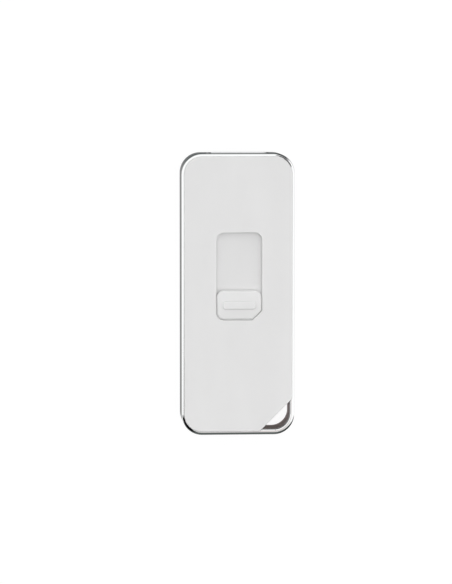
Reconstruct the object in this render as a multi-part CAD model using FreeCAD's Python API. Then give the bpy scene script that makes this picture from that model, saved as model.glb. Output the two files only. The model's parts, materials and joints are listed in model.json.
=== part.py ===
"""Slide-out USB flash drive with a chromed rim, white covers and a key-ring loop at one corner.

Millimetres. The drive lies on its rear cover: +Z points out of the front cover, +Y towards the plug's
end and +X to the right of someone who looks at the front. The origin is the middle of the rear face.
The carrier with the plug, the circuit board and the thumb slide moves along +Y by TRAVEL.
"""

import FreeCAD
import Part
import math
import os

Vector = FreeCAD.Vector

# Body
BODY_WIDTH = 24.1
BODY_LENGTH = 60.0
BODY_THICKNESS = 8.6
BODY_CORNER = 4.4
TRAVEL = 12.2
JOIN = 0.1

# Rim: how much of it shows beside the covers, and its walls
LIP_SIDE = 0.55
LIP_END = 0.72
RIM_SET_BACK = 0.2
RIM_EDGE_ROUND = 0.7
RIM_WALL_SIDE = 1.0
RIM_WALL_END = 1.15
RIM_INNER_CORNER = 3.35
LOOP_EDGE_ROUND = 0.25
LOOP_DRAFT = 0.1
LOOP_REAR_CORNER = 3.5
RIM_OVERLAP = 0.3

# Covers
COVER_THICKNESS = 0.9
COVER_CORNER = 3.8
COVER_EDGE_ROUND = 0.2
COVER_GAP = 0.05
CUT_LEG = 6.95
CUT_END_ROUND = 0.4
WEB_THICKNESS = 1.0
WEB_SET_BACK = 0.1
WEB_CLEARANCE = 0.3

# Thumb slide and the slot it runs in
SLOT_WIDTH = 9.7
SLOT_MID_X = 0.2
SLOT_LOW_Y = -5.42
SLOT_CORNER = 1.6
SLOT_CUT_LEG = 2.0
SLOT_CUT_ROUND = 0.5
SLOT_EDGE_ROUND = 0.15
THUMB_GAP = 0.06
SKIRT_TOP_Z = 8.42
SKIRT_STEP = 0.12
THUMB_LENGTH = 6.25
THUMB_PROUD = 0.25
THUMB_EDGE_ROUND = 0.32
THUMB_CROWN_RADIUS = 26.0
GRIP_WIDTH = 7.0
GRIP_HEIGHT = 1.75
GRIP_PROUD = 0.3
GRIP_CORNER = 0.55
GRIP_EDGE_ROUND = 0.25
STEM_X = 2.4
STEM_RADIUS = 0.78
STAKE_RADIUS = 1.13
STAKE_LOW_Z = 6.5

# USB-A plug
PLUG_WIDTH = 12.0
PLUG_HEIGHT = 4.5
PLUG_MID_Z = 4.5
PLUG_WALL = 0.3
PLUG_CORNER = 0.65
PLUG_TIP_Y = 29.8
PLUG_REAR_Y = 11.3
PLUG_TIP_ROUND = 0.12
SEAM_HALF_WIDTH = 0.04
SEAM_DEPTH = 0.08
EAR_MID_Y = 13.4
EAR_HALF_LENGTH = 0.8
EAR_REACH = 0.5
EAR_LOW_Z = 3.4
EAR_HIGH_Z = 5.6
LEG_REAR_Y = 8.7
LEG_LOW_Z = 3.0
LEG_HIGH_Z = 5.2
SEAT_GAP = 0.03
WINDOW_WIDTH = 2.4
WINDOW_LENGTH = 2.2
WINDOW_X = 2.6
WINDOW_CORNER = 0.2
WINDOW_FROM_TIP = 6.3
TONGUE_TOP_Z = 4.47
TONGUE_FROM_TIP = 0.75
TONGUE_CHAMFER = 0.3
HOLLOW_DEPTH = 12.7
CONTACT_WIDTH = 1.0
CONTACT_THICKNESS = 0.25
CONTACT_X = (-3.5, -1.0, 1.0, 3.5)
CONTACT_REAR_Y = 9.3
OUTER_CONTACT_FROM_TIP = 1.5
INNER_CONTACT_FROM_TIP = 2.5

# Carrier: tray and lid
CARRIER_HALF_WIDTH = 7.8
CARRIER_REAR_Y = -22.5
CARRIER_NOSE_Y = 15.2
CARRIER_FLOOR_Z = 1.65
CARRIER_SPLIT_Z = 6.8
CARRIER_TOP_Z = 7.6
CARRIER_WALL = 1.0
CARRIER_CORNER = 0.8
TRAY_FLOOR_TOP_Z = 2.2
LID_EDGE_ROUND = 0.2
LID_LIP = 0.6
LID_LIP_LOW_Y = -18.0
LID_LIP_HIGH_Y = 8.0

# Circuit board
BOARD_HALF_WIDTH = 6.7
BOARD_REAR_Y = -21.4
BOARD_FRONT_Y = 11.1
BOARD_TOP_Z = 4.2
BOARD_THICKNESS = 0.8
BOARD_CORNER = 0.3
BOARD_LEDGE_X = 6.0
BOARD_LEDGE_HIGH_Y = 8.4
NOTCH_LOW_Y = 8.5
NOTCH_GAP = 0.15

# Parts on the board: middles (x, y), half sizes, leads
FLASH_MIDDLE = (0.0, -10.9)
FLASH_HALF = (6.0, 9.2)
FLASH_HEIGHT = 1.1
FLASH_LEADS = 22
FLASH_LEAD_REACH = 0.8
CONTROLLER = (-1.9, 4.1)
CONTROLLER_HALF = 3.5
CONTROLLER_HEIGHT = 1.5
CONTROLLER_LEADS = 12
CONTROLLER_LEAD_REACH = 0.95
REGULATOR = (4.9, 6.3)
REGULATOR_HALF = (1.45, 0.65)
REGULATOR_HEIGHT = 1.0
REGULATOR_LEAD_X = 0.95
REGULATOR_LEAD_REACH = 0.6
STAND_OFF = 0.1
PACKAGE_DRAFT = 0.12
DIMPLE_RADIUS = 0.35
DIMPLE_INSET = 0.9
DIMPLE_DEPTH = 0.1
LEAD_PITCH = 0.5
LEAD_METAL = 0.13
LEAD_WIDTH = 0.2
CRYSTAL = (4.85, 1.7)
CRYSTAL_HALF = (1.6, 2.5)
CRYSTAL_BASE_HEIGHT = 0.6
CRYSTAL_HEIGHT = 1.1
CRYSTAL_LID_INSET = 0.25
CRYSTAL_CORNER = 0.25
CRYSTAL_EDGE_ROUND = 0.12

# Small chips: size, and where they sit (x, y, turn in degrees)
CHIP_LENGTH = 1.0
CHIP_WIDTH = 0.5
CHIP_END = 0.2
CHIP_SINK = 0.02
CAPACITORS_ABOVE = ((-4.75, 9.6, 90), (4.75, 9.6, 90), (4.9, 8.1, 0), (2.9, 2.2, 90), (2.9, 0.9, 90),
                    (2.95, 6.9, 90))
CAPACITORS_BELOW = ((-3.6, 5.6, 0), (-3.6, 2.6, 0), (0.0, 5.6, 90), (0.0, 2.6, 90), (-2.0, -5.0, 0),
                    (2.0, -5.0, 0))
RESISTORS_ABOVE = ((-2.25, 9.6, 90), (2.25, 9.6, 90), (4.85, 4.62, 0), (2.95, 5.4, 90))

# Guide chassis
GUIDE_INNER_X = 8.0
GUIDE_OUTER_X = 9.2
GUIDE_LOW_Z = 1.05
GUIDE_FLOOR_TOP_Z = 1.55
GUIDE_TOP_Z = 7.35
GUIDE_REAR_Y = -23.7
GUIDE_REAR_WALL = 1.0
GUIDE_FRONT_WALL_Y = 27.6
GUIDE_FRONT_Y = 28.77
GUIDE_FRONT_CORNER = 2.5
GUIDE_REAR_CORNER = 0.8
COLLAR_FRONT_Y = 29.8
COLLAR_WALL = 0.4
MOUTH_GAP = 0.15
MOUTH_EDGE_ROUND = 0.2
RAIL_Z = 4.5
RAIL_HALF_HEIGHT = 0.3
RAIL_DEPTH = 0.55
RAIL_GAP = 0.15
RAIL_LOW_Y = (-12.0, 4.0)
RAIL_LENGTH = 8.0

# Detent leaves
LEAF_THICKNESS = 0.15
LEAF_HEIGHT = 1.6
LEAF_MID_Z = 2.9
LEAF_MID_Y = -17.0
LEAF_HALF_LENGTH = 4.0
LEAF_X = 7.38
LEAF_BUMP = 0.8
LEAF_GAP = 0.1
LEAF_SHOULDER = 0.5
DETENT_NOTCH_X = 7.4
DETENT_NOTCH_RADIUS = 1.1

# Screws that hold the chassis's tail to the rim
SCREW_PLACES = ((-8.2, -25.9), (2.6, -25.9))
SCREW_RADIUS = 0.68
SCREW_HEAD_RADIUS = 1.2
SCREW_HEAD_HEIGHT = 0.75
BOSS_RADIUS = 1.5
BOSS_LOW_Z = 2.6
BOSS_RIB = 1.2
SCREW_TIP_Z = 5.8
SCREW_TIP_ROOM = 0.4
SCREW_EDGE_ROUND = 0.2
SCREW_HOLE_GAP = 0.12
CROSS_HALF_LENGTH = 0.65
CROSS_HALF_WIDTH = 0.13
CROSS_DEPTH = 0.4

# Snap legs
FRONT_LEG_Y = (20.0, 4.0, -14.0)
REAR_LEG_Y = (12.0, -5.0, -18.0)
LEG_INNER_X = 10.1
LEG_OUTER_X = 10.97
LEG_HALF_LENGTH = 1.5
LEG_REACH = 2.4
HOOK_PROUD = 0.35
HOOK_HEIGHT = 0.65
HOOK_RAMP = 0.25
POCKET_GAP = 0.1
RIB_LOW_Y = -20.0
RIB_HIGH_Y = 24.0
RIB_HEIGHT = 0.5

# Worked-out values
HALF_WIDTH = BODY_WIDTH / 2
HALF_LENGTH = BODY_LENGTH / 2
COVER_X = HALF_WIDTH - LIP_SIDE
COVER_Y = HALF_LENGTH - LIP_END
CUT_LINE = COVER_X + COVER_Y - CUT_LEG
WEB_FACE = CUT_LINE - WEB_SET_BACK * math.sqrt(2)
WEB_BACK = WEB_FACE - WEB_THICKNESS * math.sqrt(2)
RIM_LOW_Z = RIM_SET_BACK
RIM_HIGH_Z = BODY_THICKNESS - RIM_SET_BACK
LEDGE_LOW_Z = COVER_THICKNESS
LEDGE_HIGH_Z = BODY_THICKNESS - COVER_THICKNESS
RIM_INNER_X = HALF_WIDTH - RIM_WALL_SIDE
RIM_INNER_Y = HALF_LENGTH - RIM_WALL_END
SLOT_LEFT_X = SLOT_MID_X - SLOT_WIDTH / 2
SLOT_RIGHT_X = SLOT_MID_X + SLOT_WIDTH / 2
SLOT_HIGH_Y = SLOT_LOW_Y + THUMB_LENGTH + TRAVEL + 2 * THUMB_GAP
THUMB_LOW_Y = SLOT_LOW_Y + THUMB_GAP
THUMB_HIGH_Y = THUMB_LOW_Y + THUMB_LENGTH
THUMB_MID_Y = (THUMB_LOW_Y + THUMB_HIGH_Y) / 2
PLUG_LOW_Z = PLUG_MID_Z - PLUG_HEIGHT / 2
PLUG_HIGH_Z = PLUG_MID_Z + PLUG_HEIGHT / 2
MOUTH_HALF_X = PLUG_WIDTH / 2 + MOUTH_GAP
MOUTH_HALF_Z = PLUG_HEIGHT / 2 + MOUTH_GAP
MOUTH_CORNER = PLUG_CORNER + MOUTH_GAP
LUG_TOP_Z = BOSS_LOW_Z - COVER_GAP
SCREW_HEAD_TOP_Z = GUIDE_LOW_Z + SCREW_HEAD_HEIGHT + COVER_GAP
THREAD_RADIUS = SCREW_RADIUS + 0.02


# --- Shape helpers ---------------------------------------------------------------------------------

def place(u, v, w, axis):
    """The point whose in-plane coordinates are u, v and whose coordinate along axis is w."""
    return {"x": Vector(w, u, v), "y": Vector(u, w, v), "z": Vector(u, v, w)}[axis]


def outline(corners, level=0.0, axis="z"):
    """A closed wire through corners (u, v, radius), each rounded by the tangent arc of its radius."""
    rounded = []
    for i, (u, v, radius) in enumerate(corners):
        here = place(u, v, level, axis)
        before = place(corners[i - 1][0], corners[i - 1][1], level, axis)
        following = corners[(i + 1) % len(corners)]
        after = place(following[0], following[1], level, axis)
        back = (before - here).normalize()
        ahead = (after - here).normalize()
        half = back.getAngle(ahead) / 2
        if radius <= 0:
            rounded.append((here, None, here))
            continue
        reach = radius / math.tan(half)
        middle = here + (back + ahead).normalize() * (radius / math.sin(half) - radius)
        rounded.append((here + back * reach, middle, here + ahead * reach))
    edges = []
    for i, (start, middle, end) in enumerate(rounded):
        if middle is not None:
            edges.append(Part.Arc(start, middle, end).toShape())
        next_start = rounded[(i + 1) % len(rounded)][0]
        if end.distanceToPoint(next_start) > 1e-6:
            edges.append(Part.makeLine(end, next_start))
    return Part.Wire(edges)


def prism(corners, low, high, axis="z"):
    """A solid with that rounded outline, from low to high along axis."""
    face = Part.Face(outline(corners, low, axis))
    return face.extrude(place(0, 0, high - low, axis))


def rectangle(u0, v0, u1, v1, radius=0.0):
    """The corners of a rectangle, each with the same radius."""
    return [(u0, v0, radius), (u1, v0, radius), (u1, v1, radius), (u0, v1, radius)]


def box(x0, x1, y0, y1, z0, z1):
    """A box between two limits on each axis."""
    return Part.makeBox(x1 - x0, y1 - y0, z1 - z0, Vector(x0, y0, z0))


def rod(x, y, z0, z1, radius):
    """An upright cylinder."""
    return Part.makeCylinder(radius, z1 - z0, Vector(x, y, z0))


def fuse(first, *others):
    """One clean solid from several that touch or overlap."""
    return first.multiFuse(list(others)).removeSplitter()


def mirrored(shape):
    """The shape's twin on the other side of the plane X = 0."""
    return shape.mirror(Vector(0, 0, 0), Vector(1, 0, 0))


def flat_edges(shape, axis, value, inside=None):
    """The edges that lie in the plane where the coordinate along axis is value.
    inside, if given, is a test on an edge's middle point."""
    found = []
    for edge in shape.Edges:
        bounds = edge.BoundBox
        low = {"x": bounds.XMin, "y": bounds.YMin, "z": bounds.ZMin}[axis]
        high = {"x": bounds.XMax, "y": bounds.YMax, "z": bounds.ZMax}[axis]
        if abs(low - value) > 1e-4 or abs(high - value) > 1e-4:
            continue
        if inside is None or inside(bounds.Center):
            found.append(edge)
    return found


def beyond_cut(line):
    """Everything past the diagonal x - y = line at the loop's corner, as a block."""
    corners = [(line - BODY_LENGTH, -BODY_LENGTH, 0), (BODY_LENGTH, -BODY_LENGTH, 0),
               (BODY_LENGTH, BODY_LENGTH - line, 0)]
    return prism(corners, -1, BODY_THICKNESS + 1)


# --- Outlines shared by several pieces -------------------------------------------------------------

def cover_corners(growth=0.0):
    """The covers' outline: a rounded rectangle with one corner cut off at 45 degrees."""
    x = COVER_X + growth
    y = COVER_Y + growth
    leg = x + y - (CUT_LINE + growth * math.sqrt(2))
    corner = COVER_CORNER + growth
    return [(-x, -y, corner), (x - leg, -y, CUT_END_ROUND), (x, leg - y, CUT_END_ROUND),
            (x, y, corner), (-x, y, corner)]


def slot_corners(low_y, high_y, inset=0.0):
    """The slot's outline, or the thumb slide's when inset: three round corners and a cut one."""
    left = SLOT_LEFT_X + inset
    right = SLOT_RIGHT_X - inset
    leg = SLOT_CUT_LEG - inset * (2 - math.sqrt(2))
    corner = SLOT_CORNER - inset
    return [(left, low_y, corner), (right - leg, low_y, SLOT_CUT_ROUND), (right, low_y + leg, SLOT_CUT_ROUND),
            (right, high_y, corner), (left, high_y, corner)]


# --- Housing: rim, covers, chassis, screws ---------------------------------------------------------

def snap_pockets():
    """The hollows in the rim's side walls that the covers' hooks catch in."""
    pockets = []
    for leg_ys, tip_z in ((FRONT_LEG_Y, LEDGE_HIGH_Z - LEG_REACH), (REAR_LEG_Y, LEDGE_LOW_Z + LEG_REACH)):
        inward = 1 if tip_z > BODY_THICKNESS / 2 else -1
        ends = (tip_z - POCKET_GAP * inward, tip_z + (HOOK_HEIGHT + POCKET_GAP) * inward)
        for y in leg_ys:
            half = LEG_HALF_LENGTH + 2 * POCKET_GAP
            pocket = box(RIM_INNER_X - 1, LEG_OUTER_X + HOOK_PROUD + POCKET_GAP, y - half, y + half,
                         min(ends), max(ends))
            pockets += [pocket, mirrored(pocket)]
    return pockets


def loop_hole():
    """The see-through hole at the loop's corner, a little wider towards the rear."""
    levels = []
    for growth, corner, level in ((LOOP_DRAFT, LOOP_REAR_CORNER, RIM_LOW_Z),
                                  (0.0, RIM_INNER_CORNER, RIM_HIGH_Z)):
        x = RIM_INNER_X + growth
        y = RIM_INNER_Y + growth
        levels.append(outline(rectangle(-x, -y, x, y, corner), level))
    return Part.makeLoft(levels, True, True).common(beyond_cut(WEB_FACE))


def edge_frame():
    """The chromed rim: one casting with the corner loop, the plug's mouth and two screw bosses."""
    outer = prism(rectangle(-HALF_WIDTH, -HALF_LENGTH, HALF_WIDTH, HALF_LENGTH, BODY_CORNER),
                  RIM_LOW_Z, RIM_HIGH_Z)
    outer = outer.makeFillet(RIM_EDGE_ROUND, flat_edges(outer, "z", RIM_LOW_Z)
                             + flat_edges(outer, "z", RIM_HIGH_Z))
    inner = rectangle(-RIM_INNER_X, -RIM_INNER_Y, RIM_INNER_X, RIM_INNER_Y, RIM_INNER_CORNER)
    ring = outer.cut(prism(inner, -1, BODY_THICKNESS + 1))

    def is_inner(point):
        return abs(point.x) < RIM_INNER_X + 0.01 and abs(point.y) < RIM_INNER_Y + 0.01

    rims = flat_edges(ring, "z", RIM_LOW_Z, is_inner) + flat_edges(ring, "z", RIM_HIGH_Z, is_inner)
    ring = ring.makeFillet(LOOP_EDGE_ROUND, rims)
    seat = cover_corners(SEAT_GAP)
    ring = ring.cut(prism(seat, LEDGE_HIGH_Z, BODY_THICKNESS + 1))
    ring = ring.cut(prism(seat, -1, LEDGE_LOW_Z))

    filled_x = RIM_INNER_X + RIM_OVERLAP
    filled_y = RIM_INNER_Y + RIM_OVERLAP
    filled = prism(rectangle(-filled_x, -filled_y, filled_x, filled_y, RIM_INNER_CORNER),
                   LEDGE_LOW_Z, LEDGE_HIGH_Z)
    web = filled.common(beyond_cut(WEB_BACK)).cut(beyond_cut(WEB_FACE))
    bosses = []
    for x, y in SCREW_PLACES:
        bosses.append(rod(x, y, BOSS_LOW_Z, LEDGE_HIGH_Z, BOSS_RADIUS))
        bosses.append(box(x - BOSS_RIB / 2, x + BOSS_RIB / 2, -filled_y, y, BOSS_LOW_Z, LEDGE_HIGH_Z))
    frame = fuse(ring, web, *bosses).cut(loop_hole())
    for x, y in SCREW_PLACES:
        frame = frame.cut(rod(x, y, BOSS_LOW_Z - 1, SCREW_TIP_Z + SCREW_TIP_ROOM, THREAD_RADIUS))

    mouth_x = MOUTH_HALF_X + COLLAR_WALL + COVER_GAP
    mouth_z = MOUTH_HALF_Z + COLLAR_WALL + COVER_GAP
    mouth = rectangle(-mouth_x, PLUG_MID_Z - mouth_z, mouth_x, PLUG_MID_Z + mouth_z,
                      MOUTH_CORNER + COLLAR_WALL + COVER_GAP)
    frame = frame.cut(prism(mouth, RIM_INNER_Y - 1, HALF_LENGTH + 1, "y"))

    def is_mouth(point):
        return abs(point.x) < mouth_x + 0.01 and abs(point.z - PLUG_MID_Z) < mouth_z + 0.01

    frame = frame.makeFillet(MOUTH_EDGE_ROUND, flat_edges(frame, "y", HALF_LENGTH, is_mouth))
    for pocket in snap_pockets():
        frame = frame.cut(pocket)
    return frame


def snap_leg(y, root_z, direction):
    """A leg with a hook at its tip, on the right-hand side. direction is +1 up or -1 down."""
    tip_z = root_z + LEG_REACH * direction
    leg = box(LEG_INNER_X, LEG_OUTER_X, y - LEG_HALF_LENGTH, y + LEG_HALF_LENGTH,
              min(root_z, tip_z), max(root_z, tip_z))
    catch_z = tip_z - HOOK_HEIGHT * direction
    ramp_z = catch_z + HOOK_RAMP * direction
    root_x = LEG_OUTER_X - JOIN
    hook_x = LEG_OUTER_X + HOOK_PROUD
    profile = [(root_x, tip_z, 0), (LEG_OUTER_X, tip_z, 0), (hook_x, ramp_z, 0), (hook_x, catch_z, 0),
               (root_x, catch_z, 0)]
    hook = prism(profile, y - LEG_HALF_LENGTH, y + LEG_HALF_LENGTH, "y")
    return fuse(leg, hook)


def cover_underside(leg_ys, root_z, direction):
    """The stiffening ribs and snap legs on both sides of a cover's inner face."""
    rib_tip = root_z + RIB_HEIGHT * direction
    rib = box(LEG_INNER_X, LEG_OUTER_X, RIB_LOW_Y, RIB_HIGH_Y, min(root_z, rib_tip), max(root_z, rib_tip))
    right = [rib] + [snap_leg(y, root_z, direction) for y in leg_ys]
    return right + [mirrored(piece) for piece in right]


def front_cover():
    """White cover with the thumb slide's slot."""
    plate = prism(cover_corners(), LEDGE_HIGH_Z, BODY_THICKNESS)
    plate = plate.makeFillet(COVER_EDGE_ROUND, flat_edges(plate, "z", BODY_THICKNESS))
    plate = plate.cut(prism(slot_corners(SLOT_LOW_Y, SLOT_HIGH_Y), LEDGE_HIGH_Z - 1, BODY_THICKNESS + 1))

    def is_slot(point):
        return abs(point.x - SLOT_MID_X) < SLOT_WIDTH / 2 + 0.01 and abs(point.y) < SLOT_HIGH_Y + 0.01

    plate = plate.makeFillet(SLOT_EDGE_ROUND, flat_edges(plate, "z", BODY_THICKNESS, is_slot))
    return fuse(plate, *cover_underside(FRONT_LEG_Y, LEDGE_HIGH_Z, -1))


def rear_cover():
    """White cover that the drive rests on."""
    plate = prism(cover_corners(), 0, COVER_THICKNESS)
    plate = plate.makeFillet(COVER_EDGE_ROUND, flat_edges(plate, "z", 0))
    return fuse(plate, *cover_underside(REAR_LEG_Y, LEDGE_LOW_Z, 1))


def guide_chassis():
    """The tub that guides the carrier, with a collar that lines the plug's mouth and two screw lugs."""
    footprint = [(-GUIDE_OUTER_X, GUIDE_REAR_Y, GUIDE_REAR_CORNER),
                 (GUIDE_OUTER_X, GUIDE_REAR_Y, GUIDE_REAR_CORNER),
                 (GUIDE_OUTER_X, GUIDE_FRONT_Y, GUIDE_FRONT_CORNER),
                 (-GUIDE_OUTER_X, GUIDE_FRONT_Y, GUIDE_FRONT_CORNER)]
    tub = prism(footprint, GUIDE_LOW_Z, GUIDE_TOP_Z)
    tub = tub.cut(box(-GUIDE_INNER_X, GUIDE_INNER_X, GUIDE_REAR_Y + GUIDE_REAR_WALL, GUIDE_FRONT_WALL_Y,
                      GUIDE_FLOOR_TOP_Z, GUIDE_TOP_Z + 1))
    collar = prism(rectangle(-MOUTH_HALF_X - COLLAR_WALL, PLUG_MID_Z - MOUTH_HALF_Z - COLLAR_WALL,
                             MOUTH_HALF_X + COLLAR_WALL, PLUG_MID_Z + MOUTH_HALF_Z + COLLAR_WALL,
                             MOUTH_CORNER + COLLAR_WALL),
                   GUIDE_FRONT_WALL_Y, COLLAR_FRONT_Y, "y")
    lugs = []
    for x, y in SCREW_PLACES:
        lugs.append(rod(x, y, GUIDE_LOW_Z, LUG_TOP_Z, BOSS_RADIUS))
        lugs.append(box(x - BOSS_RADIUS, x + BOSS_RADIUS, y, GUIDE_REAR_Y + GUIDE_REAR_WALL,
                        GUIDE_LOW_Z, LUG_TOP_Z))
    chassis = fuse(tub, collar, *lugs)
    chassis = chassis.cut(prism(rectangle(-MOUTH_HALF_X, PLUG_MID_Z - MOUTH_HALF_Z, MOUTH_HALF_X,
                                          PLUG_MID_Z + MOUTH_HALF_Z, MOUTH_CORNER),
                                GUIDE_FRONT_WALL_Y - 1, COLLAR_FRONT_Y + 1, "y"))
    chassis = chassis.cut(beyond_cut(WEB_BACK - WEB_CLEARANCE))
    rail_half = RAIL_HALF_HEIGHT + RAIL_GAP
    groove = box(GUIDE_INNER_X - JOIN, GUIDE_INNER_X + RAIL_DEPTH, RAIL_LOW_Y[0] - 1,
                 RAIL_LOW_Y[-1] + RAIL_LENGTH + TRAVEL + 1, RAIL_Z - rail_half, RAIL_Z + rail_half)
    cuts = [groove]
    notch_half = LEAF_HEIGHT / 2 + 2 * LEAF_GAP
    for y in (LEAF_MID_Y, LEAF_MID_Y + TRAVEL):
        cuts.append(rod(DETENT_NOTCH_X, y, LEAF_MID_Z - notch_half, LEAF_MID_Z + notch_half,
                        DETENT_NOTCH_RADIUS))
    for piece in cuts:
        chassis = chassis.cut(piece).cut(mirrored(piece))
    for x, y in SCREW_PLACES:
        chassis = chassis.cut(rod(x, y, 0, SCREW_HEAD_TOP_Z, SCREW_HEAD_RADIUS + SCREW_HOLE_GAP))
        chassis = chassis.cut(rod(x, y, 0, BOSS_LOW_Z + 1, SCREW_RADIUS + SCREW_HOLE_GAP))
    return chassis


def chassis_screws():
    """Two small screws, put in from the rear, each with a cross recess in its head."""
    low_z = SCREW_HEAD_TOP_Z - SCREW_HEAD_HEIGHT
    screws = []
    for x, y in SCREW_PLACES:
        head = rod(x, y, low_z, SCREW_HEAD_TOP_Z, SCREW_HEAD_RADIUS)
        head = head.makeFillet(SCREW_EDGE_ROUND, flat_edges(head, "z", low_z))
        screw = fuse(head, rod(x, y, SCREW_HEAD_TOP_Z - JOIN, SCREW_TIP_Z, SCREW_RADIUS))
        for half_x, half_y in ((CROSS_HALF_WIDTH, CROSS_HALF_LENGTH), (CROSS_HALF_LENGTH, CROSS_HALF_WIDTH)):
            screw = screw.cut(box(x - half_x, x + half_x, y - half_y, y + half_y,
                                  low_z - 1, low_z + CROSS_DEPTH))
        screws.append(screw)
    return Part.makeCompound(screws)


# --- Carrier: tray, lid, thumb slide, detent leaves ------------------------------------------------

def carrier_base():
    """The tray under the circuit board, with the plug's seat in its nose."""
    tray = prism(rectangle(-CARRIER_HALF_WIDTH, CARRIER_REAR_Y, CARRIER_HALF_WIDTH, CARRIER_NOSE_Y,
                           CARRIER_CORNER), CARRIER_FLOOR_Z, CARRIER_SPLIT_Z)
    inner_x = CARRIER_HALF_WIDTH - CARRIER_WALL
    tray = tray.cut(box(-inner_x, inner_x, CARRIER_REAR_Y + CARRIER_WALL, PLUG_REAR_Y - COVER_GAP,
                        TRAY_FLOOR_TOP_Z, CARRIER_SPLIT_Z + 1))
    seat_x = PLUG_WIDTH / 2 + SEAT_GAP
    tray = tray.cut(prism(rectangle(-seat_x, PLUG_LOW_Z - SEAT_GAP, seat_x, PLUG_HIGH_Z + 2, PLUG_CORNER),
                          PLUG_REAR_Y - 1, CARRIER_NOSE_Y + 1, "y"))
    board_low_z = BOARD_TOP_Z - BOARD_THICKNESS
    pieces = []
    for side in (-1, 1):
        ledge_x = sorted((side * BOARD_LEDGE_X, side * (inner_x + JOIN)))
        pieces.append(box(*ledge_x, CARRIER_REAR_Y + CARRIER_WALL - JOIN, BOARD_LEDGE_HIGH_Y,
                          TRAY_FLOOR_TOP_Z - JOIN, board_low_z))
        rail_x = sorted((side * (CARRIER_HALF_WIDTH - JOIN),
                         side * (GUIDE_INNER_X + RAIL_DEPTH - RAIL_GAP)))
        for rail_y in RAIL_LOW_Y:
            pieces.append(box(*rail_x, rail_y, rail_y + RAIL_LENGTH,
                              RAIL_Z - RAIL_HALF_HEIGHT, RAIL_Z + RAIL_HALF_HEIGHT))
    tray = fuse(tray, *pieces)
    ear_half = EAR_HALF_LENGTH + COVER_GAP
    ear = box(PLUG_WIDTH / 2, PLUG_WIDTH / 2 + EAR_REACH + JOIN, EAR_MID_Y - ear_half, EAR_MID_Y + ear_half,
              EAR_LOW_Z - COVER_GAP, CARRIER_SPLIT_Z + 1)
    leaf_half = LEAF_HEIGHT / 2 + LEAF_GAP
    slit_x = LEAF_X - LEAF_THICKNESS / 2 - COVER_GAP
    slit_y = LEAF_HALF_LENGTH + LEAF_GAP
    slit = box(slit_x, slit_x + LEAF_THICKNESS + 2 * COVER_GAP, LEAF_MID_Y - slit_y, LEAF_MID_Y + slit_y,
               LEAF_MID_Z - leaf_half, LEAF_MID_Z + leaf_half)
    window_y = LEAF_HALF_LENGTH - LEAF_SHOULDER
    window = box(slit_x, CARRIER_HALF_WIDTH + 1, LEAF_MID_Y - window_y, LEAF_MID_Y + window_y,
                 LEAF_MID_Z - leaf_half, LEAF_MID_Z + leaf_half)
    for piece in (ear, slit, window):
        tray = tray.cut(piece).cut(mirrored(piece))
    return tray


def carrier_lid():
    """The lid over the circuit board. Its top is the floor that shows in the slot."""
    lid = prism(rectangle(-CARRIER_HALF_WIDTH, CARRIER_REAR_Y, CARRIER_HALF_WIDTH, CARRIER_NOSE_Y,
                          CARRIER_CORNER), CARRIER_SPLIT_Z, CARRIER_TOP_Z)
    lid = lid.makeFillet(LID_EDGE_ROUND, flat_edges(lid, "z", CARRIER_TOP_Z))
    lip_x = CARRIER_HALF_WIDTH - CARRIER_WALL - COVER_GAP
    lip = box(lip_x - LID_LIP, lip_x, LID_LIP_LOW_Y, LID_LIP_HIGH_Y, CARRIER_SPLIT_Z - LID_LIP,
              CARRIER_SPLIT_Z + JOIN)
    lid = fuse(lid, lip, mirrored(lip))
    for x in (-STEM_X, STEM_X):
        lid = lid.cut(rod(x, THUMB_MID_Y, CARRIER_SPLIT_Z - 1, CARRIER_TOP_Z + 1, STEM_RADIUS + SEAT_GAP))
    return lid


def thumb_slide():
    """The thumb piece: a crowned top on a wider skirt, a raised grip bar and two staked stems."""
    top_z = BODY_THICKNESS + THUMB_PROUD
    skirt = prism(slot_corners(THUMB_LOW_Y, THUMB_HIGH_Y, THUMB_GAP), CARRIER_TOP_Z, SKIRT_TOP_Z)
    block = prism(slot_corners(THUMB_LOW_Y + SKIRT_STEP, THUMB_HIGH_Y - SKIRT_STEP, THUMB_GAP + SKIRT_STEP),
                  CARRIER_TOP_Z, top_z + 1)
    crown = Part.makeCylinder(THUMB_CROWN_RADIUS, SLOT_WIDTH + 2,
                              Vector(SLOT_LEFT_X - 1, THUMB_MID_Y, top_z - THUMB_CROWN_RADIUS),
                              Vector(1, 0, 0))
    block = block.common(crown)
    upper = [edge for edge in block.Edges if edge.BoundBox.ZMin > BODY_THICKNESS]
    block = block.makeFillet(THUMB_EDGE_ROUND, upper)
    half_x = GRIP_WIDTH / 2
    half_y = GRIP_HEIGHT / 2
    grip = prism(rectangle(SLOT_MID_X - half_x, THUMB_MID_Y - half_y,
                           SLOT_MID_X + half_x, THUMB_MID_Y + half_y, GRIP_CORNER),
                 BODY_THICKNESS, top_z + GRIP_PROUD)
    grip = grip.makeFillet(GRIP_EDGE_ROUND, flat_edges(grip, "z", top_z + GRIP_PROUD))
    stems = []
    for x in (-STEM_X, STEM_X):
        stems.append(rod(x, THUMB_MID_Y, STAKE_LOW_Z, CARRIER_TOP_Z + JOIN, STEM_RADIUS))
        stems.append(rod(x, THUMB_MID_Y, STAKE_LOW_Z, CARRIER_SPLIT_Z, STAKE_RADIUS))
    return fuse(block, skirt, grip, *stems)


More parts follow.
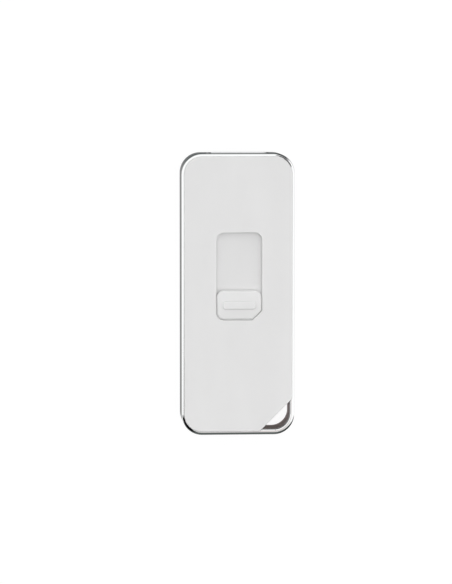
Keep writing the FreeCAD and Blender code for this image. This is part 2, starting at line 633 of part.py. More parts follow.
def detent_leaf(side):
    """A steel strip with a bump in its middle. side is -1 left or +1 right."""
    near = LEAF_X - LEAF_THICKNESS / 2
    far = LEAF_X + LEAF_THICKNESS / 2
    bump_near = near + LEAF_BUMP
    bump_far = far + LEAF_BUMP
    low_y = LEAF_MID_Y - LEAF_HALF_LENGTH
    high_y = LEAF_MID_Y + LEAF_HALF_LENGTH
    corners = [(near, low_y, 0), (far, low_y, 0), (far, LEAF_MID_Y - 1.3, 0.6),
               (bump_far, LEAF_MID_Y - 0.45, 0.5), (bump_far, LEAF_MID_Y + 0.45, 0.5),
               (far, LEAF_MID_Y + 1.3, 0.6), (far, high_y, 0), (near, high_y, 0),
               (near, LEAF_MID_Y + 1.22, 0.75), (bump_near, LEAF_MID_Y + 0.37, 0.35),
               (bump_near, LEAF_MID_Y - 0.37, 0.35), (near, LEAF_MID_Y - 1.22, 0.75)]
    leaf = prism(corners, LEAF_MID_Z - LEAF_HEIGHT / 2, LEAF_MID_Z + LEAF_HEIGHT / 2)
    return leaf if side > 0 else mirrored(leaf)


# --- USB-A plug ------------------------------------------------------------------------------------

def usb_shell():
    """The folded steel shell: four windows, a seam under it, two ears and two solder legs."""
    half_x = PLUG_WIDTH / 2
    outer = prism(rectangle(-half_x, PLUG_LOW_Z, half_x, PLUG_HIGH_Z, PLUG_CORNER),
                  PLUG_REAR_Y, PLUG_TIP_Y, "y")
    outer = outer.makeFillet(PLUG_TIP_ROUND, flat_edges(outer, "y", PLUG_TIP_Y))
    shell = outer.cut(prism(rectangle(-half_x + PLUG_WALL, PLUG_LOW_Z + PLUG_WALL, half_x - PLUG_WALL,
                                      PLUG_HIGH_Z - PLUG_WALL, PLUG_CORNER - PLUG_WALL),
                            PLUG_REAR_Y - 1, PLUG_TIP_Y + 1, "y"))
    window_y = PLUG_TIP_Y - WINDOW_FROM_TIP
    for x in (-WINDOW_X, WINDOW_X):
        window = prism(rectangle(x - WINDOW_WIDTH / 2, window_y - WINDOW_LENGTH / 2,
                                 x + WINDOW_WIDTH / 2, window_y + WINDOW_LENGTH / 2, WINDOW_CORNER),
                       PLUG_LOW_Z - 1, PLUG_HIGH_Z + 1)
        shell = shell.cut(window)
    seam = box(-SEAM_HALF_WIDTH, SEAM_HALF_WIDTH, PLUG_REAR_Y - 1, PLUG_TIP_Y + 1,
               PLUG_LOW_Z - 1, PLUG_LOW_Z + SEAM_DEPTH)
    shell = shell.cut(seam)
    ear = box(half_x - JOIN, half_x + EAR_REACH, EAR_MID_Y - EAR_HALF_LENGTH, EAR_MID_Y + EAR_HALF_LENGTH,
              EAR_LOW_Z, EAR_HIGH_Z)
    leg = box(half_x - PLUG_WALL, half_x, LEG_REAR_Y, PLUG_REAR_Y + JOIN, LEG_LOW_Z, LEG_HIGH_Z)
    return fuse(shell, ear, mirrored(ear), leg, mirrored(leg))


def contact_bars(growth=0.0):
    """The four contact strips, or the grooves for them when grown."""
    bars = []
    for x in CONTACT_X:
        is_outer = abs(x) == max(CONTACT_X)
        tip_y = PLUG_TIP_Y - (OUTER_CONTACT_FROM_TIP if is_outer else INNER_CONTACT_FROM_TIP)
        half = CONTACT_WIDTH / 2 + growth
        bars.append(box(x - half, x + half, CONTACT_REAR_Y, tip_y + growth,
                        BOARD_TOP_Z, BOARD_TOP_Z + CONTACT_THICKNESS + growth))
    return bars


def plug_tongue():
    """The plastic insulator: a flat tongue in the lower half and a block that closes the shell."""
    half_x = PLUG_WIDTH / 2 - PLUG_WALL - SEAT_GAP
    low_z = PLUG_LOW_Z + PLUG_WALL + SEAT_GAP
    high_z = PLUG_HIGH_Z - PLUG_WALL - SEAT_GAP
    rear_y = PLUG_REAR_Y + SEAT_GAP
    front_y = PLUG_TIP_Y - TONGUE_FROM_TIP
    tongue = box(-half_x, half_x, rear_y, front_y, low_z, TONGUE_TOP_Z)
    tongue = tongue.makeChamfer(TONGUE_CHAMFER, flat_edges(tongue, "y", front_y))
    block = box(-half_x, half_x, rear_y, PLUG_TIP_Y - HOLLOW_DEPTH, low_z, high_z)
    body = fuse(tongue, block)
    body = body.common(prism(rectangle(-half_x, low_z, half_x, high_z, PLUG_CORNER - PLUG_WALL),
                             PLUG_REAR_Y, PLUG_TIP_Y, "y"))
    for bar in contact_bars(SEAT_GAP):
        body = body.cut(bar)
    return body


def plug_contacts():
    """Four gold-plated strips. Their tails lie on the circuit board."""
    return Part.makeCompound(contact_bars())


# --- Circuit board and what is on it ---------------------------------------------------------------

def circuit_board():
    """The board, notched where the plug's legs pass it."""
    board = prism(rectangle(-BOARD_HALF_WIDTH, BOARD_REAR_Y, BOARD_HALF_WIDTH, BOARD_FRONT_Y, BOARD_CORNER),
                  BOARD_TOP_Z - BOARD_THICKNESS, BOARD_TOP_Z)
    leg_x = PLUG_WIDTH / 2
    notch = box(leg_x - PLUG_WALL - NOTCH_GAP, leg_x + NOTCH_GAP, NOTCH_LOW_Y, BOARD_FRONT_Y + 1,
                0, BODY_THICKNESS)
    return board.cut(notch).cut(mirrored(notch))


def package(middle, half, height):
    """A moulded chip package on the board, with drafted sides and a pin-one dimple."""
    x, y = middle
    low_z = BOARD_TOP_Z + STAND_OFF
    high_z = BOARD_TOP_Z + height
    halves = []
    for end_z in (low_z, high_z):
        wide = outline(rectangle(x - half[0], y - half[1], x + half[0], y + half[1]), (low_z + high_z) / 2)
        end_x = half[0] - PACKAGE_DRAFT
        end_y = half[1] - PACKAGE_DRAFT
        narrow = outline(rectangle(x - end_x, y - end_y, x + end_x, y + end_y), end_z)
        halves.append(Part.makeLoft([wide, narrow], True, True))
    body = fuse(*halves)
    return body.cut(rod(x - half[0] + DIMPLE_INSET, y + half[1] - DIMPLE_INSET,
                        high_z - DIMPLE_DEPTH, high_z + 1, DIMPLE_RADIUS))


def shoulder(height):
    """The height at which leads leave a package of that height."""
    return BOARD_TOP_Z + (STAND_OFF + height - LEAD_METAL) / 2


def gull_wing(reach, shoulder_z):
    """One lead that runs out along +Y from Y = 0, down to the board and out again in a foot."""
    foot_z = BOARD_TOP_Z
    top_z = shoulder_z + LEAD_METAL
    bend = LEAD_METAL * 0.9
    corners = [(0, shoulder_z, 0), (0, top_z, 0), (reach * 0.38, top_z, bend),
               (reach * 0.62, foot_z + LEAD_METAL, bend * 0.8), (reach, foot_z + LEAD_METAL, 0),
               (reach, foot_z, 0), (reach * 0.5, foot_z, bend), (reach * 0.28, shoulder_z, bend * 0.6)]
    return prism(corners, -LEAD_WIDTH / 2, LEAD_WIDTH / 2, "x")


def lead_row(count, reach, shoulder_z, x, y, turn):
    """A row of leads. The row is centred on x, y and faces +Y turned by turn degrees."""
    first = gull_wing(reach, shoulder_z)
    leads = []
    for i in range(count):
        lead = first.copy()
        lead.translate(Vector((i - (count - 1) / 2) * LEAD_PITCH, 0, 0))
        lead.rotate(Vector(0, 0, 0), Vector(0, 0, 1), turn)
        lead.translate(Vector(x, y, 0))
        leads.append(lead)
    return leads


def flash_chip():
    """Flash memory in a thin two-sided package."""
    return package(FLASH_MIDDLE, FLASH_HALF, FLASH_HEIGHT)


def flash_chip_leads():
    """Its leads, a row at each end."""
    x, y = FLASH_MIDDLE
    leads = []
    for side, turn in ((1, 0), (-1, 180)):
        leads += lead_row(FLASH_LEADS, FLASH_LEAD_REACH, shoulder(FLASH_HEIGHT),
                          x, y + side * FLASH_HALF[1], turn)
    return Part.makeCompound(leads)


def controller_chip():
    """The controller in a square four-sided package."""
    return package(CONTROLLER, (CONTROLLER_HALF, CONTROLLER_HALF), CONTROLLER_HEIGHT)


def controller_leads():
    """Its leads, a row on each side."""
    leads = []
    for turn, (dx, dy) in ((0, (0, 1)), (90, (-1, 0)), (180, (0, -1)), (270, (1, 0))):
        x = CONTROLLER[0] + dx * CONTROLLER_HALF
        y = CONTROLLER[1] + dy * CONTROLLER_HALF
        leads += lead_row(CONTROLLER_LEADS, CONTROLLER_LEAD_REACH, shoulder(CONTROLLER_HEIGHT), x, y, turn)
    return Part.makeCompound(leads)


def crystal():
    """The clock crystal: a ceramic base with a smaller metal lid on it."""
    x, y = CRYSTAL
    half_x, half_y = CRYSTAL_HALF
    top_z = BOARD_TOP_Z + CRYSTAL_HEIGHT
    base_top_z = BOARD_TOP_Z + CRYSTAL_BASE_HEIGHT
    base = prism(rectangle(x - half_x, y - half_y, x + half_x, y + half_y, CRYSTAL_CORNER),
                 BOARD_TOP_Z, base_top_z)
    half_x -= CRYSTAL_LID_INSET
    half_y -= CRYSTAL_LID_INSET
    can = prism(rectangle(x - half_x, y - half_y, x + half_x, y + half_y, CRYSTAL_CORNER), base_top_z, top_z)
    can = can.makeFillet(CRYSTAL_EDGE_ROUND, flat_edges(can, "z", top_z))
    return fuse(base, can)


def regulator():
    """The voltage regulator's package."""
    return package(REGULATOR, REGULATOR_HALF, REGULATOR_HEIGHT)


def regulator_leads():
    """Its three leads, two on one side and one on the other."""
    x, y = REGULATOR
    leads = []
    for dx, side, turn in ((-REGULATOR_LEAD_X, -1, 180), (REGULATOR_LEAD_X, -1, 180), (0, 1, 0)):
        leads += lead_row(1, REGULATOR_LEAD_REACH, shoulder(REGULATOR_HEIGHT),
                          x + dx, y + side * REGULATOR_HALF[1], turn)
    return Part.makeCompound(leads)


def small_chips(places, low_z, part):
    """Small chips at places (x, y, turn): part is "body" for their middles or "ends" for their terminals."""
    made = []
    for x, y, turn in places:
        half_x = CHIP_LENGTH / 2
        half_y = CHIP_WIDTH / 2
        inner_x = half_x - CHIP_END
        if part == "body":
            pieces = [box(-inner_x, inner_x, -half_y + CHIP_SINK, half_y - CHIP_SINK,
                          low_z + CHIP_SINK, low_z + CHIP_WIDTH - CHIP_SINK)]
        else:
            pieces = [box(inner_x, half_x, -half_y, half_y, low_z, low_z + CHIP_WIDTH),
                      box(-half_x, -inner_x, -half_y, half_y, low_z, low_z + CHIP_WIDTH)]
        for piece in pieces:
            piece.rotate(Vector(0, 0, 0), Vector(0, 0, 1), turn)
            piece.translate(Vector(x, y, 0))
            made.append(piece)
    return made


def capacitor_pieces(part):
    """The capacitors on both faces of the board."""
    return (small_chips(CAPACITORS_ABOVE, BOARD_TOP_Z, part)
            + small_chips(CAPACITORS_BELOW, BOARD_TOP_Z - BOARD_THICKNESS - CHIP_WIDTH, part))


def resistor_pieces(part):
    """The resistors, all on the upper face."""
    return small_chips(RESISTORS_ABOVE, BOARD_TOP_Z, part)


def capacitors():
    """The ceramic middles of the capacitors."""
    return Part.makeCompound(capacitor_pieces("body"))


def resistors():
    """The middles of the resistors."""
    return Part.makeCompound(resistor_pieces("body"))


def chip_terminals():
    """The tinned ends of the capacitors and resistors."""
    return Part.makeCompound(capacitor_pieces("ends") + resistor_pieces("ends"))


# --- Export ----------------------------------------------------------------------------------------

def parts():
    """Every piece by the name of its node."""
    return {
        "edge_frame": edge_frame(),
        "front_cover": front_cover(),
        "rear_cover": rear_cover(),
        "guide_chassis": guide_chassis(),
        "chassis_screws": chassis_screws(),
        "carrier_base": carrier_base(),
        "carrier_lid": carrier_lid(),
        "thumb_slide": thumb_slide(),
        "detent_spring_left": detent_leaf(-1),
        "detent_spring_right": detent_leaf(1),
        "usb_shell": usb_shell(),
        "plug_tongue": plug_tongue(),
        "plug_contacts": plug_contacts(),
        "circuit_board": circuit_board(),
        "flash_chip": flash_chip(),
        "flash_chip_leads": flash_chip_leads(),
        "controller_chip": controller_chip(),
        "controller_leads": controller_leads(),
        "crystal": crystal(),
        "regulator": regulator(),
        "regulator_leads": regulator_leads(),
        "capacitors": capacitors(),
        "resistors": resistors(),
        "chip_terminals": chip_terminals(),
    }


def main():
    os.makedirs("parts", exist_ok=True)
    for node, shape in parts().items():
        print(node, "valid" if shape.isValid() else "NOT VALID", len(shape.Solids), "solids",
              round(shape.Volume, 2), "mm3")
        shape.exportStep(f"parts/{node}.step")


main()
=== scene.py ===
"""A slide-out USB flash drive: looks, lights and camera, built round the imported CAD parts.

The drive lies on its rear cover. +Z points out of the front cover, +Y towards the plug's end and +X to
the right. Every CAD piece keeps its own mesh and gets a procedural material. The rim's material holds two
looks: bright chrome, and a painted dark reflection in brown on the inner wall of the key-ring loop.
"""

import json
import math

import bmesh
import bpy
from mathutils import Matrix, Vector


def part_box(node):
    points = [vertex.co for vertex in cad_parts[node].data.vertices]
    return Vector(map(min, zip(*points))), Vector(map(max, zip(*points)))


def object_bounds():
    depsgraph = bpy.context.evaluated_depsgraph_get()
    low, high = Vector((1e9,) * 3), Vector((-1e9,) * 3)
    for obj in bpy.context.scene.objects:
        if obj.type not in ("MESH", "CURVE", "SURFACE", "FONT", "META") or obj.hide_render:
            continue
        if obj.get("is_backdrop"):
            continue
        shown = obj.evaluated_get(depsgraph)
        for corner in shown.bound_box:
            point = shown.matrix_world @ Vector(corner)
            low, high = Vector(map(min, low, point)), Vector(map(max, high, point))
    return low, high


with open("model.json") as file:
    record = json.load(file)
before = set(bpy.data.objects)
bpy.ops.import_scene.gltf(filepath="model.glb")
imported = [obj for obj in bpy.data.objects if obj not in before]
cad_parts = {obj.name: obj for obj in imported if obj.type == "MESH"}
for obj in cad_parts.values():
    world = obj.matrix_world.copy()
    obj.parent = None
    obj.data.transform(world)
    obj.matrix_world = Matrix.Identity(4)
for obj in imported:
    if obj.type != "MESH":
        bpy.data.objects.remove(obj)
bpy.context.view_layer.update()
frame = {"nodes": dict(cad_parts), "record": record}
nodes = frame["nodes"]
collection = bpy.context.scene.collection

MM = 0.001

# Camera, in metres: straight above the front, a little towards the left side and the plug's end
VIEW_DISTANCE = 0.600
VIEW_LEFT_SLOPE = 0.066
VIEW_PLUG_SLOPE = 0.083
PICTURE_SPAN = 0.12384
AIM_FROM_MIDDLE = Vector((-0.00262, 0.00060, 0))
NEAREST_SEEN = 0.01
FURTHEST_SEEN = 20
FILM_WIDTH = 36

# Colours
COVER_COLOR = (0.77, 0.77, 0.77)
CARRIER_COLOR = (0.755, 0.755, 0.755)
CHASSIS_COLOR = (0.20, 0.205, 0.21)
TONGUE_COLOR = (0.018, 0.018, 0.02)
CHROME_COLOR = (0.86, 0.87, 0.87)
# Painted dark reflection on the key-ring loop's inner wall: brown in place of the dark surroundings the
# chrome there would mirror
PAINTED_LOOP_SHADE_COLOR = (0.42, 0.34, 0.33)
SCREW_COLOR = (0.50, 0.50, 0.51)
SPRING_COLOR = (0.44, 0.43, 0.42)
SHELL_COLOR = (0.63, 0.62, 0.60)
CAN_COLOR = (0.60, 0.58, 0.52)
TIN_COLOR = (0.62, 0.62, 0.63)
GOLD_WORN = (0.70, 0.47, 0.18)
GOLD_BRIGHT = (0.85, 0.63, 0.30)
POUR_DARK = (0.010, 0.115, 0.045)
POUR_PALE = (0.014, 0.145, 0.060)
TRACK_COLOR = (0.035, 0.26, 0.11)
EPOXY_COLOR = (0.022, 0.022, 0.024)
CAPACITOR_COLOR = (0.30, 0.19, 0.11)
RESISTOR_COLOR = (0.02, 0.02, 0.024)

# Finish
WHITE_GLOW_DEPTH = 0.8 * MM
WHITE_GLOW_SHARE = 0.5
POLISH = (0.03, 0.09)
# Roughness and metallic under the painted dark reflection on the key-ring loop's inner wall
LOOP_SHADE_ROUGH = 0.5
LOOP_SHADE_METAL = 0.1

# Where the dark reflection is painted on the inner wall of the key-ring loop, in millimetres
RIM_CORNER = 4.4
LOOP_SKIN = 0.3
LOOP_SKIN_BLUR = 0.02
LOOP_FOOT = (0.1, 0.2)
LOOP_FADE = (2.0, 0.4)
LOOP_PAST_CUT = -0.3

# Room round the drive. A card is a round patch of it: the azimuth from +X towards +Y and the elevation of
# its middle, the radii where it starts to show and where it shows fully, all in degrees, and its colour
ROOM_COLOR = (1.0, 1.0, 1.0)
ROOM_STRENGTH = 1.15
BLACK = (0.005, 0.005, 0.006)
CARDS = {
    "ground_by_plug_end": (100, -50, 75, 20, (0.05, 0.06, 0.06)),
    "ground_below": (-75, -82, 12, 7, (0.24, 0.24, 0.24)),
    "tail_wall": (-90, 0, 70, 50, (0.11, 0.12, 0.115)),
    "tail_right_corner": (-45, -20, 32, 28, BLACK),
    "tail_left_corner": (-140, 10, 33, 30, BLACK),
    "tail_left_high": (-135, 50, 25, 20, BLACK),
    "plug_right_corner": (60, 0, 25, 20, BLACK),
    "plug_right_high": (45, 50, 22, 18, BLACK),
    "ceiling_by_tail": (-60, 75, 12, 8, (0.66, 0.60, 0.59)),
}

# Floor and backdrop, and the lamps: place and size in metres, power in watts
FLOOR_REACH = 2.0
FLOOR_GLOW = 0.94
FLOOR_MATT = 0.08
BACKDROP_RADIUS = 2.3
BACKDROP_GLOW = 0.94
BACKDROP_MATT = 0.0
BACKDROP_SEGMENTS = 64
STAGE_ROUGH = 0.8
LAMPS = {
    "overhead": ((0.05, -0.15, 0.7), 0.8, 1.85),
    "fill_left": ((-0.60, 0.35, 0.26), 0.5, 0.3),
    "fill_right": ((0.60, -0.35, 0.26), 0.5, 0.3),
}


# --- Camera ----------------------------------------------------------------------------------------

def make_camera():
    """Looks down at the middle of the front cover from VIEW_DISTANCE."""
    low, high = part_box("edge_frame")
    middle = (low + high) / 2
    aim = Vector((middle.x, middle.y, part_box("front_cover")[1].z)) + AIM_FROM_MIDDLE
    back = Vector((-VIEW_LEFT_SLOPE, VIEW_PLUG_SLOPE, 1)).normalized()
    right = Vector((0, 1, 0)).cross(back).normalized()
    up = back.cross(right)
    data = bpy.data.cameras.new("photo_camera")
    data.sensor_width = FILM_WIDTH
    data.lens = FILM_WIDTH * VIEW_DISTANCE / PICTURE_SPAN
    data.clip_start = NEAREST_SEEN
    data.clip_end = FURTHEST_SEEN
    camera = bpy.data.objects.new("photo_camera", data)
    camera.rotation_mode = "QUATERNION"
    camera.rotation_quaternion = Matrix((right, up, back)).transposed().to_quaternion()
    camera.location = aim + back * VIEW_DISTANCE
    collection.objects.link(camera)
    bpy.context.scene.camera = camera


# --- Node helpers ----------------------------------------------------------------------------------

class Graph:
    """A new material's node tree, with short calls that add a node and return its output."""

    def __init__(self, name, color, rough, metal=0.0):
        self.material = bpy.data.materials.new(name)
        self.material.use_nodes = True
        self.tree = self.material.node_tree
        self.shader = self.tree.nodes["Principled BSDF"]
        self.set("Base Color", (*color, 1))
        self.set("Roughness", rough)
        self.set("Metallic", metal)
        self.place = self.add("ShaderNodeTexCoord").outputs["Object"]

    def add(self, kind, **settings):
        node = self.tree.nodes.new(kind)
        for key, value in settings.items():
            setattr(node, key, value)
        return node

    def set(self, socket, value):
        self.shader.inputs[socket].default_value = value

    def link(self, source, target):
        self.tree.links.new(source, target)

    def drive(self, source, socket):
        """Feeds the source to one of the shader's sockets."""
        self.link(source, self.shader.inputs[socket])

    def mapped(self, scale):
        """Object coordinates in millimetres, stretched by scale along each axis."""
        mapping = self.add("ShaderNodeMapping")
        self.link(self.place, mapping.inputs["Vector"])
        mapping.inputs["Scale"].default_value = [s / MM for s in scale]
        return mapping.outputs["Vector"]

    def noise(self, per_mm, detail=2.0, stretch=(1, 1, 1), roughness=0.5):
        """Noise with per_mm features to a millimetre."""
        node = self.add("ShaderNodeTexNoise")
        self.link(self.mapped(stretch), node.inputs["Vector"])
        node.inputs["Scale"].default_value = per_mm
        node.inputs["Detail"].default_value = detail
        node.inputs["Roughness"].default_value = roughness
        return node.outputs["Fac"]

    def spread(self, value, low, high, from_low=0.3, from_high=0.7):
        """The value, from its usual range into low to high."""
        node = self.add("ShaderNodeMapRange")
        self.link(value, node.inputs["Value"])
        limits = {"From Min": from_low, "From Max": from_high, "To Min": low, "To Max": high}
        for socket, number in limits.items():
            node.inputs[socket].default_value = number
        return node.outputs["Result"]

    def blend_colors(self, factor, first, second):
        node = self.add("ShaderNodeMix", data_type="RGBA")
        self.link(factor, node.inputs["Factor"])
        node.inputs["A"].default_value = (*first, 1)
        node.inputs["B"].default_value = (*second, 1)
        return node.outputs["Result"]

    def vector_math(self, operation, first, second=None):
        """A vector node on the output first and, where it takes two, the fixed vector second."""
        node = self.add("ShaderNodeVectorMath", operation=operation)
        self.link(first, node.inputs[0])
        if second is not None:
            node.inputs[1].default_value = second
        return node

    def number_math(self, operation, first, second):
        node = self.add("ShaderNodeMath", operation=operation)
        self.link(first, node.inputs[0])
        self.link(second, node.inputs[1])
        return node.outputs["Value"]

    def bump(self, height, depth_mm):
        """Drives the shader's normal by a height of depth_mm."""
        node = self.add("ShaderNodeBump")
        node.inputs["Strength"].default_value = 1.0
        node.inputs["Distance"].default_value = depth_mm * MM
        self.link(height, node.inputs["Height"])
        self.drive(node.outputs["Normal"], "Normal")

    def rough_range(self, value, low, high):
        self.drive(self.spread(value, low, high), "Roughness")

    def color_range(self, value, first, second):
        self.drive(self.blend_colors(self.spread(value, 0, 1), first, second), "Base Color")


def tinted(color, factor):
    """The colour made lighter or darker by the factor, within white."""
    return [min(1, c * factor) for c in color]


# --- Materials -------------------------------------------------------------------------------------

def moulded_plastic(name, color, rough, grain_mm=0.004, coat=0.0):
    """Moulded ABS: spark-eroded grain, a slow drift in gloss and the faintest flow marks."""
    graph = Graph(name, color, rough)
    grain = graph.noise(per_mm=7, detail=3, roughness=0.6)
    flow = graph.noise(per_mm=0.12, stretch=(1.5, 0.5, 1.5))
    graph.color_range(flow, tinted(color, 0.985), tinted(color, 1.012))
    graph.rough_range(flow, rough * 0.9, rough * 1.12)
    graph.bump(grain, grain_mm)
    graph.set("IOR", 1.5)
    graph.set("Coat Weight", coat)
    graph.set("Coat Roughness", 0.12)
    return graph


def white_plastic(name, color, rough, coat=0.0):
    """Moulded ABS that lets light in a little way below its surface."""
    graph = moulded_plastic(name, color, rough, coat=coat)
    graph.set("Subsurface Weight", WHITE_GLOW_SHARE)
    graph.set("Subsurface Radius", (1.0, 1.0, 1.0))
    graph.set("Subsurface Scale", WHITE_GLOW_DEPTH)
    return graph


def rim_chrome():
    """Bright chrome, and a painted dark reflection on the inner wall of the key-ring loop: brown, rough
    and barely metallic.
    """
    graph = Graph("rim_chrome", CHROME_COLOR, 0.05, metal=1.0)
    haze = graph.noise(per_mm=0.35, detail=3)
    hair = graph.noise(per_mm=3, stretch=(1, 0.08, 1))
    # loop masks the painted dark reflection on the loop's inner wall
    loop = loop_wall_shade_mask(graph)
    graph.drive(graph.blend_colors(loop, CHROME_COLOR, PAINTED_LOOP_SHADE_COLOR), "Base Color")
    rough = graph.add("ShaderNodeMix", data_type="FLOAT")
    graph.link(loop, rough.inputs["Factor"])
    graph.link(graph.spread(haze, *POLISH), rough.inputs["A"])
    rough.inputs["B"].default_value = LOOP_SHADE_ROUGH
    graph.drive(rough.outputs["Result"], "Roughness")
    graph.drive(graph.spread(loop, 1, LOOP_SHADE_METAL, 0, 1), "Metallic")
    graph.bump(hair, 0.0004)
    return graph


def loop_line():
    """x - y, in millimetres, along the cut edge of the front cover."""
    return max((v.co.x - v.co.y) / MM for v in nodes["front_cover"].data.vertices)


def loop_wall_shade_mask(graph):
    """1 on the inner wall of the key-ring loop, where the dark reflection is painted: past the cover's cut
    edge, inside the rim's outer skin and clear of its rounded edges. Elsewhere 0."""
    low, high = [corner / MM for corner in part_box("edge_frame")]
    cut_line = loop_line()
    split = graph.add("ShaderNodeSeparateXYZ")
    graph.link(graph.mapped((1, 1, 1)), split.inputs["Vector"])
    diagonal = graph.number_math("SUBTRACT", split.outputs["X"], split.outputs["Y"])
    past_cut = graph.spread(diagonal, 0, 1, cut_line + LOOP_PAST_CUT, cut_line)

    corner = (high.x - RIM_CORNER, -low.y - RIM_CORNER, 0)
    past_corner = graph.vector_math("SUBTRACT", graph.mapped((1, -1, 0)), corner)
    beyond = graph.vector_math("MAXIMUM", past_corner.outputs["Vector"])
    reach = graph.vector_math("LENGTH", beyond.outputs["Vector"]).outputs["Value"]
    skin = RIM_CORNER - LOOP_SKIN
    inside = graph.spread(reach, 1, 0, skin - LOOP_SKIN_BLUR, skin + LOOP_SKIN_BLUR)

    above = graph.spread(split.outputs["Z"], 0, 1, *[low.z + height for height in LOOP_FOOT])
    below = graph.spread(split.outputs["Z"], 1, 0, *[high.z - depth for depth in LOOP_FADE])
    across = graph.number_math("MULTIPLY", past_cut, inside)
    upright = graph.number_math("MULTIPLY", above, below)
    return graph.number_math("MULTIPLY", across, upright)


def brushed(name, color, rough, stretch=(1, 1, 1)):
    """Metal with fine lines along its rolled direction."""
    graph = Graph(name, color, rough, metal=1.0)
    lines = graph.noise(per_mm=6, detail=3, stretch=stretch, roughness=0.65)
    stain = graph.noise(per_mm=0.5)
    graph.rough_range(lines, rough * 0.75, rough * 1.3)
    graph.color_range(stain, tinted(color, 0.93), color)
    graph.bump(lines, 0.0015)
    return graph


def contact_gold():
    """Gold plate, wiped by the socket's springs along the contacts."""
    graph = Graph("contact_gold", GOLD_BRIGHT, 0.22, metal=1.0)
    wipe = graph.noise(per_mm=9, stretch=(1, 0.06, 1))
    graph.rough_range(wipe, 0.16, 0.36)
    graph.color_range(wipe, GOLD_WORN, GOLD_BRIGHT)
    graph.bump(wipe, 0.001)
    return graph


def board_green():
    """Solder mask over copper: broad pours with paler tracks between them."""
    graph = Graph("board_green", POUR_DARK, 0.3)
    tracks = graph.add("ShaderNodeTexBrick", offset=0.37, squash=0.6, squash_frequency=3)
    graph.link(graph.mapped((1, 1, 1)), tracks.inputs["Vector"])
    settings = {"Scale": 1.0, "Mortar Size": 0.09, "Mortar Smooth": 0.15, "Brick Width": 1.7,
                "Row Height": 0.62, "Color1": (*POUR_DARK, 1), "Color2": (*POUR_PALE, 1),
                "Mortar": (*TRACK_COLOR, 1)}
    for socket, value in settings.items():
        tracks.inputs[socket].default_value = value
    graph.drive(tracks.outputs["Color"], "Base Color")
    graph.bump(tracks.outputs["Fac"], 0.02)
    graph.set("Coat Weight", 0.4)
    graph.set("Coat Roughness", 0.15)
    return graph


def epoxy():
    """Chip moulding compound: matt, finely speckled."""
    rough = 0.55
    graph = Graph("chip_black", EPOXY_COLOR, rough)
    speckle = graph.noise(per_mm=14)
    graph.color_range(speckle, tinted(EPOXY_COLOR, 0.8), tinted(EPOXY_COLOR, 1.5))
    graph.rough_range(speckle, rough * 0.85, rough * 1.15)
    graph.bump(speckle, 0.006)
    return graph


def ceramic(name, color):
    graph = Graph(name, color, 0.45)
    cloud = graph.noise(per_mm=5, detail=3)
    graph.color_range(cloud, tinted(color, 0.86), tinted(color, 1.1))
    graph.bump(cloud, 0.004)
    return graph


def solder():
    graph = Graph("lead_tin", TIN_COLOR, 0.3, metal=1.0)
    grain = graph.noise(per_mm=11)
    graph.rough_range(grain, 0.22, 0.42)
    graph.bump(grain, 0.003)
    return graph


MATERIALS = {
    "rim_chrome": rim_chrome,
    "cover_white": lambda: white_plastic("cover_white", COVER_COLOR, 0.34, coat=0.08),
    "carrier_white": lambda: white_plastic("carrier_white", CARRIER_COLOR, 0.38),
    "chassis_grey": lambda: moulded_plastic("chassis_grey", CHASSIS_COLOR, 0.5, grain_mm=0.01),
    "tongue_black": lambda: moulded_plastic("tongue_black", TONGUE_COLOR, 0.42, grain_mm=0.008),
    "screw_steel": lambda: brushed("screw_steel", SCREW_COLOR, 0.3),
    "spring_steel": lambda: brushed("spring_steel", SPRING_COLOR, 0.3, stretch=(1, 0.1, 1)),
    "shell_steel": lambda: brushed("shell_steel", SHELL_COLOR, 0.27, stretch=(1, 0.05, 1)),
    "can_steel": lambda: brushed("can_steel", CAN_COLOR, 0.24),
    "contact_gold": contact_gold,
    "board_green": board_green,
    "chip_black": epoxy,
    "lead_tin": solder,
    "capacitor_tan": lambda: ceramic("capacitor_tan", CAPACITOR_COLOR),
    "resistor_black": lambda: ceramic("resistor_black", RESISTOR_COLOR),
}


def dress_nodes():
    """Gives each CAD node the material of its slot."""
    made = {}
    for part in frame["record"]["subparts"]:
        slot = part["material_slot"]
        if slot not in made:
            made[slot] = MATERIALS[slot]().material
        data = nodes[part["node"]].data
        data.materials.clear()
        data.materials.append(made[slot])


# --- Studio ----------------------------------------------------------------------------------------

def toward(azimuth, elevation):
    """The unit vector at that azimuth and elevation, both in degrees."""
    turn, rise = math.radians(azimuth), math.radians(elevation)
    level = math.cos(rise)
    return Vector((level * math.cos(turn), level * math.sin(turn), math.sin(rise)))


def studio_world():
    """A white room with dark cards in it, which the chrome needs to look like chrome."""
    world = bpy.data.worlds.new("studio")
    bpy.context.scene.world = world
    world.use_nodes = True
    tree = world.node_tree
    background = tree.nodes["Background"]
    direction = tree.nodes.new("ShaderNodeTexCoord").outputs["Generated"]
    room = tree.nodes.new("ShaderNodeRGB").outputs["Color"]
    room.default_value = (*ROOM_COLOR, 1)
    for azimuth, elevation, edge, core, color in CARDS.values():
        dot = tree.nodes.new("ShaderNodeVectorMath")
        dot.operation = "DOT_PRODUCT"
        tree.links.new(direction, dot.inputs[0])
        dot.inputs[1].default_value = toward(azimuth, elevation)
        mask = tree.nodes.new("ShaderNodeMapRange")
        mask.interpolation_type = "SMOOTHSTEP"
        tree.links.new(dot.outputs["Value"], mask.inputs["Value"])
        mask.inputs["From Min"].default_value = math.cos(math.radians(edge))
        mask.inputs["From Max"].default_value = math.cos(math.radians(core))
        mix = tree.nodes.new("ShaderNodeMix")
        mix.data_type = "RGBA"
        tree.links.new(mask.outputs["Result"], mix.inputs["Factor"])
        tree.links.new(room, mix.inputs["A"])
        mix.inputs["B"].default_value = (*color, 1)
        room = mix.outputs["Result"]
    tree.links.new(room, background.inputs["Color"])
    background.inputs["Strength"].default_value = ROOM_STRENGTH


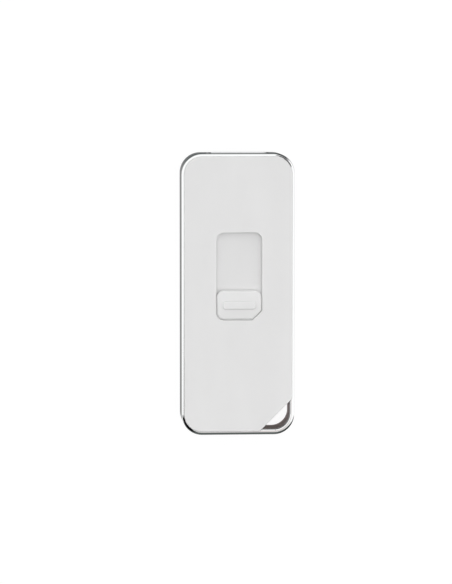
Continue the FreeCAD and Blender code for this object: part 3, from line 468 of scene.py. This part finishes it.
def soft_light(name, place, size, power):
    """A large square lamp aimed at the drive. Only matt surfaces see it."""
    data = bpy.data.lights.new(name, "AREA")
    data.size = size
    data.energy = power
    lamp = bpy.data.objects.new(name, data)
    lamp.location = place
    lamp.rotation_mode = "QUATERNION"
    lamp.rotation_quaternion = Vector(place).to_track_quat("Z", "Y")
    lamp.visible_glossy = False
    collection.objects.link(lamp)


def glowing(name, glow, matt):
    """A white surface lit from behind, like a light table."""
    graph = Graph(name, (matt, matt, matt), STAGE_ROUGH)
    graph.set("Specular IOR Level", 0.0)
    graph.set("Emission Color", (1, 1, 1, 1))
    graph.set("Emission Strength", glow)
    return graph.material


def make_floor():
    """A square light table under the drive, which the chrome doesn't see."""
    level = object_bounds()[0][2]
    corners = [(x * FLOOR_REACH, y * FLOOR_REACH, level) for x, y in ((-1, -1), (1, -1), (1, 1), (-1, 1))]
    plane = bpy.data.meshes.new("floor")
    plane.from_pydata(corners, [], [(0, 1, 2, 3)])
    plane.materials.append(glowing("floor", FLOOR_GLOW, FLOOR_MATT))
    floor = bpy.data.objects.new("floor", plane)
    floor.visible_glossy = False
    return floor


def make_backdrop():
    """A glowing ball round the whole studio that only the camera sees."""
    ball = bmesh.new()
    bmesh.ops.create_uvsphere(ball, u_segments=BACKDROP_SEGMENTS, v_segments=BACKDROP_SEGMENTS // 2,
                              radius=BACKDROP_RADIUS)
    bmesh.ops.reverse_faces(ball, faces=ball.faces)
    dome = bpy.data.meshes.new("backdrop")
    ball.to_mesh(dome)
    ball.free()
    dome.shade_smooth()
    dome.materials.append(glowing("backdrop", BACKDROP_GLOW, BACKDROP_MATT))
    backdrop = bpy.data.objects.new("backdrop", dome)
    for ray in ("visible_glossy", "visible_diffuse", "visible_shadow", "visible_transmission"):
        setattr(backdrop, ray, False)
    return backdrop


make_camera()
dress_nodes()
studio_world()
for name, (place, size, power) in LAMPS.items():
    soft_light(name, place, size, power)
for piece in (make_floor(), make_backdrop()):
    collection.objects.link(piece)
    piece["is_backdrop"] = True
bpy.context.scene.view_settings.view_transform = "Standard"
